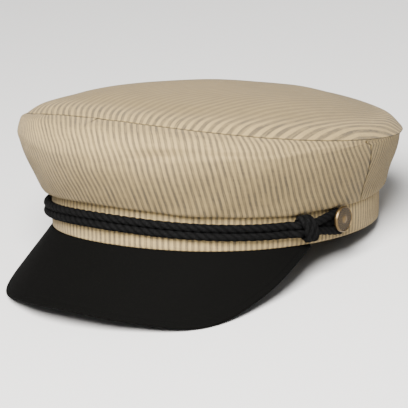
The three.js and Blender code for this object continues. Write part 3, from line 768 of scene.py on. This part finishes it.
# The peak: from under the band outwards and down at its own slope, with a folded and pressed edge
def makePeak():
    share = np.linspace(-1, 1, peak["stations"])
    angle = share * math.radians(peak["halfSpread"])
    length = peak["depth"] * readCurve(peakRows[:, 1], np.abs(share), peakRows[:, 0], True)
    slope = np.radians(readCurve(peakRows[:, 2], np.abs(share), peakRows[:, 0], True))
    wall, half = peak["wall"], peak["wall"] / 2
    t = np.linspace(0, 1, peak["rows"]) ** 0.9
    turn = np.linspace(0, math.pi, 12)[1:-1]
    sewn = np.array(peak["sewnIn"])
    a, l, s = angle[:, None], length[:, None], slope[:, None]
    reach = np.maximum(l - half, 0.1)  # along the top face to where the edge starts to turn
    flat = reach * t
    groove = peak["grooveDepth"] * bell(reach - flat - peak["grooveIn"], peak["grooveWidth"])
    groove = groove * (l > peak["grooveFrom"])
    along = np.concatenate([flat, reach + half * np.sin(turn), flat[:, ::-1]], 1)
    depth = np.concatenate([groove, half - half * np.cos(turn) + 0 * l, wall - groove[:, ::-1]], 1)
    root = onBand(a, aroundCap(a, cap["bandEdge"]) - peak["seamGap"])
    outwards, down = bandNormal(a), np.array([0, 0, -1.0])
    c, d = np.cos(s)[..., None], np.sin(s)[..., None]
    waves = peak["waves"] * smoothWaves(a * 5, t * 3 + 0 * a, 31)
    waves = np.concatenate([waves, waves[:, -1:] + 0 * turn, waves[:, ::-1]], 1)
    below = depth + waves * peak["faceWaves"]
    face = root + (outwards * c + down * d) * along[..., None] + (down * c - outwards * d) * below[..., None]
    under = np.concatenate([root + outwards * sewn[None, :, None] + down * wall,
                            root + outwards * sewn[::-1][None, :, None]], 1)
    rings = np.concatenate([face, under], 1)
    around = runLength(onBand(angle)[None], 1)[0]
    u = around[:, None] * (1 + np.concatenate([along, 0 * under[..., 0]], 1) / peak["fan"])
    v = np.concatenate([along, under[..., 0] * 0 + np.array([-1, -2, -3, -4.0])], 1)
    second = slice(along.shape[1] // 2, along.shape[1])  # the half of the round that lies underneath
    v[:, second] = 2 * l - v[:, second]
    uv = np.stack([u, v], -1)
    return makeSkin("cloth_peak", rings, np.concatenate([uv, uv[:, :1]], 1))


dress(makePeak(), "peak", peakMaterial)
print("peak made")


rope = {
    "diameter": 4.7, "lay": 14.6, "strands": 3, "sides": 42, "step": 0.75, "groove": 0.24, "roundness": 0.62,
    "heightFront": 15.6, "heightSide": 10.6, "knotAngle": 72.5, "knotLength": 12.5, "ease": 4.0,
    "loopRadius": 5.2, "loopHeight": 10.3, "buttonAngle": 87.8, "buttonHeight": 12.0,
    "strandOffset": 2.24, "lift": 2.45, "knotLift": 4.4,  # from the middle of the pair, and off the band
}


def smoothPath(points, step, closed):  # cubic pieces through the points, at even steps of length
    p = np.asarray(points, float)
    if closed:
        p = np.concatenate([p[-1:], p, p[:2]])
    else:
        p = np.concatenate([2 * p[:1] - p[1:2], p, 2 * p[-1:] - p[-2:-1]])
    pieces = len(p) - 3
    t = np.linspace(0, 1, 24, endpoint=False)[None, :, None]
    a, b, c, d = (p[k:k + pieces, None] for k in range(4))
    fine = 0.5 * (2 * b + (c - a) * t + (2 * a - 5 * b + 4 * c - d) * t**2 + (3 * b - a - 3 * c + d) * t**3)
    fine = np.concatenate([fine.reshape(-1, p.shape[1]), p[pieces + 1:pieces + 2]])
    run = np.concatenate([[0], np.cumsum(np.linalg.norm(np.diff(fine[:, :3], axis=0), axis=1))])
    at = np.linspace(0, run[-1], int(round(run[-1] / step)), endpoint=not closed)
    return np.stack([np.interp(at, run, fine[:, k]) for k in range(p.shape[1])], -1), at, run[-1]


# Laid rope: a ring with a round lobe for each strand, a power of a cosine, that turns steadily on its path.
# A squash gives two more columns: how thin the rope is pressed and how wide it then is
def makeRope(name, points, closed, diameter, squash=None, handed=1):
    if squash is not None:
        points = np.concatenate([points, squash], 1)
    path, at, total = smoothPath(points, rope["step"] if closed else rope["step"] * 0.6, closed)
    turns = max(1, round(total / rope["lay"]))
    if closed:
        way = unit(np.roll(path, -1, 0)[:, :3] - np.roll(path, 1, 0)[:, :3])
    else:
        way = unit(np.gradient(path[:, :3], axis=0))
    out = path[:, 3:6]
    across = unit(np.cross(out, way))
    out = np.cross(way, across)
    n = np.arange(rope["sides"]) * math.tau / rope["sides"]
    twist = handed * math.tau * turns * at / total
    lobes = np.abs(np.cos((n[None, :] - twist[:, None]) * rope["strands"] / 2)) ** rope["roundness"]
    radius = diameter / 2 * (1 - rope["groove"] + rope["groove"] * lobes)
    if not closed:  # rounded ends
        fromEnd = np.clip(np.minimum(at, total - at) / (diameter / 2), 0, 1)
        radius *= np.sqrt(np.clip(1 - (1 - fromEnd) ** 2, 0.02, 1))[:, None]
    flat, wide = (1, 1) if squash is None else (path[:, 6:7], path[:, 7:8])
    rings = (path[:, None, :3] + across[:, None] * (radius * np.cos(n) * wide)[..., None]
             + out[:, None] * (radius * np.sin(n) * flat)[..., None])
    allRound = np.append(n, math.tau)[None, :]
    allAlong = np.append(at, [total] if closed else [])[:, None]
    u = (allRound - handed * math.tau * turns * allAlong / total) * diameter / 2
    uv = np.stack([u, allAlong + 0 * allRound], -1)
    poles = (path[[0, -1], :3], np.array([[0.0, 0.0], [0.0, total]]))
    # The lobes also go to the material, which paints a highlight on the raised strands
    return makeSkin(name, rings, uv, "closed" if closed else "pole", poles, lobes)


def pairHeight(angle):  # the middle of the two strands, on a smooth step from the front to the knot
    place = np.clip(np.abs(angle) / math.radians(rope["knotAngle"]), 0, 1)
    return blend(rope["heightFront"], rope["heightSide"], place * place * (3 - 2 * place))


def bandPath(angle, height, lift):  # places off the band together with the outward way there
    angle, height, lift = np.broadcast_arrays(*(np.asarray(k, float) for k in (angle, height, lift)))
    return np.concatenate([offBand(angle, height, lift), bandNormal(angle)], -1)


# One closed line: the upper strand, the left loop, the lower strand and the right loop
def cordPoints():
    knot, button = math.radians(rope["knotAngle"]), math.radians(rope["buttonAngle"])
    start, end = stepRound(knot, -rope["knotLength"] / 2), stepRound(knot, rope["knotLength"] / 2)
    strandEnd = stepRound(start, -rope["ease"])
    turns = np.radians([100, 66, 33, 0, -33, -66, -100])
    parts = []
    for side in (1, -1):
        angle = np.linspace(-side * strandEnd, side * strandEnd, 62)
        parts.append(bandPath(angle, pairHeight(angle) + side * rope["strandOffset"], rope["lift"]))
        inKnot = np.linspace(start, end, 4)
        level = pairHeight(knot)
        parts.append(bandPath(side * inKnot, level + side * rope["strandOffset"], rope["knotLift"]))
        loopAngle = np.array([stepRound(button, rope["loopRadius"] * math.cos(t)) for t in turns])
        loopHeight = rope["loopHeight"] + side * rope["loopRadius"] * np.sin(turns)
        parts.append(bandPath(side * loopAngle, loopHeight, rope["lift"]))
        parts.append(bandPath(side * inKnot[::-1], level - side * rope["strandOffset"], rope["knotLift"]))
    return np.concatenate(parts)


dress(makeRope("cord_pair", cordPoints(), True, rope["diameter"]), "band_cord", cordMaterial)
print("cord made")


knot = {
    "cord": 4.1, "wraps": 3.0, "points": 72,
    "reach": 6.0, "front": 4.0, "back": 3.0,  # from its middle up and down, outwards, and towards the band
    "from": -3.7, "to": 3.5, "slant": 1.7,  # where the winding starts and ends along the band, and its lean
    "thinBehind": 0.42, "thinInFront": 0.95,
    "tail": 23.5, "tailThin": 0.6, "tailWide": 0.75,  # how far its end runs on towards the button
}


# A knot: a cord wound round both strands on a squared circle, leaning and pressed thin behind them, and its
# end carried on between them towards the button
def makeKnot(side, label):
    centre, level = math.radians(rope["knotAngle"]), rope["heightSide"]
    share = np.linspace(0, 1, knot["points"])
    turn = math.pi - math.tau * knot["wraps"] * share
    rise, out = np.sin(turn), np.cos(turn)
    height = level + knot["reach"] * np.sign(rise) * np.abs(rise) ** 0.85
    depth = np.where(out > 0, knot["front"], knot["back"])
    lift = rope["knotLift"] + depth * np.sign(out) * np.abs(out) ** 0.9
    along = blend(knot["from"], knot["to"], share) - knot["slant"] * rise
    flat = blend(knot["thinBehind"], knot["thinInFront"], np.clip(out * 1.4 + 0.5, 0, 1))
    tail = np.linspace(0, 1, 9)[1:]
    along = np.append(along, blend(along[-1], knot["tail"], tail))
    height = np.append(height, level + 0.2 * np.sin(tail * 3))
    lift = np.append(lift, blend(lift[-1], rope["lift"] - 0.2, np.sqrt(tail)))
    flat = np.append(flat, blend(flat[-1], knot["tailThin"], tail))
    wide = np.append(np.ones(share.size), 1 + knot["tailWide"] * tail)
    angle = np.array([stepRound(centre, length) for length in along])
    route = bandPath(side * angle, height, lift)
    return makeRope(f"cord_knot_{label}", route, False, knot["cord"], np.stack([flat, wide], 1), side)


for side, label in sides:
    dress(makeKnot(side, label), f"knot_{label}", cordMaterial)
print("knots made")


button = {
    "diameter": 14.5, "back": 5.2, "thick": 1.5, "dome": 0.35,
    "rim": 0.6, "rimHeight": 0.5, "bossRadius": 2.3, "bossHeight": 0.45,
    "collarOut": 0.35, "collarHeight": 0.22, "collarWidth": 0.28,  # a thin ring round the boss
    "dots": 18, "rings": 3, "dotHeight": 0.34,
    "sides": 340, "rows": 110, "edgeRows": 11,
}

# The button's back and shank: radius, and height above the disc's back
shank = np.array([(5.8, 0), (3.625, 0), (1.9, 0), (1.2, -0.3), (1.0, -0.9), (1.0, -2.5), (1.0, -4.6),
                  (0.5, -4.85)])


# A button: a disc turned about its axis. Its face is a dome with bell curves for the rim and the collar, half
# an ellipse for the boss, and sine by cosine for the rings of dots, each ring set off by half a dot
def makeButton(side, label):
    half, boss = button["diameter"] / 2, button["bossRadius"]
    inRim = half - button["rim"]
    r = np.linspace(0.06, 1, button["rows"]) * (half - button["rim"] / 2)
    n = np.linspace(0, math.tau, button["sides"], endpoint=False)
    inField = np.clip((r - boss - 0.8) / 0.35, 0, 1) * np.clip((inRim - 0.35 - r) / 0.3, 0, 1)
    ring = (r - boss - 0.9) / (inRim - boss - 1.3) * button["rings"]
    dots = np.cos(button["dots"] * n[None, :] + math.pi * np.floor(ring)[:, None]) * 0.5 + 0.5
    dots = dots * np.sin(np.clip(ring, 0, button["rings"]) * math.pi)[:, None] ** 2
    turned = button["rimHeight"] * bell(r - inRim, button["rim"] / 2)
    turned += button["bossHeight"] * np.clip(1 - (r / boss) ** 2, 0, 1) ** 0.5
    turned += button["collarHeight"] * bell(r - boss - button["collarOut"], button["collarWidth"])
    relief = turned[:, None] + dots * button["dotHeight"] * inField[:, None]
    dome = button["dome"] * (1 - (r / half) ** 2)
    face = button["back"] + button["thick"] + dome[:, None] + relief
    turn = np.linspace(0, 1, button["edgeRows"] + 1)[1:]
    edge = half - button["rim"] / 2 + button["rim"] / 2 * np.sin(turn * math.pi)
    edgeLift = button["back"] + blend(button["thick"] + 0.28, 0, turn)
    backLift = button["back"] + shank[:, 1]
    radius = np.concatenate([r, edge, shank[:, 0]])
    lift = np.concatenate([face, edgeLift[:, None] + 0 * n, backLift[:, None] + 0 * n], 0)
    edgeTone, backTone = np.full((turn.size, n.size), 0.75), np.full((len(shank), n.size), 0.2)
    tone = np.concatenate([np.clip(relief * 2.6, 0, 1), edgeTone, backTone], 0)
    angle = side * math.radians(rope["buttonAngle"])
    centre = onBand(np.float64(angle), rope["buttonHeight"])
    outwards, upwards = bandNormal(np.float64(angle)), np.array([0, 0, 1.0])
    sideways = np.cross(upwards, outwards)
    rings = (centre + outwards * lift[..., None]
             + (sideways * np.cos(n)[:, None] + upwards * np.sin(n)[:, None])[None] * radius[:, None, None])
    allRound = np.append(n, math.tau)
    uv = np.stack([radius[:, None] * np.cos(allRound), radius[:, None] * np.sin(allRound)], -1)
    poles = np.stack([centre + outwards * float(face[0].mean()), centre + outwards * float(backLift[-1])])
    return makeSkin(f"brass_{label}", rings, uv, "pole", (poles, np.zeros((2, 2))), tone)


for side, label in sides:
    dress(makeButton(side, label), f"button_{label}", brassMaterial)
print("buttons made")


# The stage: a pale floor, one soft light and an even sky, in metres
stage = {
    "floor": (0.64, 0.64, 0.64, 1), "floorReach": 6, "sky": 0.4,
    "lightPlace": (0.68, -1.25, 1.42), "lightAim": (0, 0, 0.05), "lightSize": 1.1, "lightPower": 218.0,
    "lightColour": (1.0, 0.975, 0.94),
}


def makeLight():  # a round area light, turned so that it faces its aim
    place, aim = Vector(stage["lightPlace"]), Vector(stage["lightAim"])
    data = bpy.data.lights.new("key", "AREA")
    data.shape, data.size = "DISK", stage["lightSize"]
    data.energy, data.color = stage["lightPower"], stage["lightColour"]
    light = bpy.data.objects.new("key", data)
    light.location = place
    light.rotation_euler = (aim - place).to_track_quat("-Z", "Y").to_euler()
    bpy.context.scene.collection.objects.link(light)


def makeFloor():  # one square face about the origin
    reach = stage["floorReach"]
    mesh = bpy.data.meshes.new("floor")
    mesh.from_pydata([(-reach, -reach, 0), (reach, -reach, 0), (reach, reach, 0), (-reach, reach, 0)], [],
                     [(0, 1, 2, 3)])
    floor = bpy.data.objects.new("floor", mesh)
    bpy.context.scene.collection.objects.link(floor)
    g = Graph("pale_floor")
    look = {"Base Color": stage["floor"], "Roughness": 0.9, "Specular IOR Level": 0.1}
    mesh.materials.append(g.finish(look))


makeFloor()
makeLight()
world = bpy.data.worlds.new("studio")
world.use_nodes = True
sky = world.node_tree.nodes["Background"]
sky.inputs["Color"].default_value = (1, 1, 1, 1)
sky.inputs["Strength"].default_value = stage["sky"]
bpy.context.scene.world = world
print("stage made")
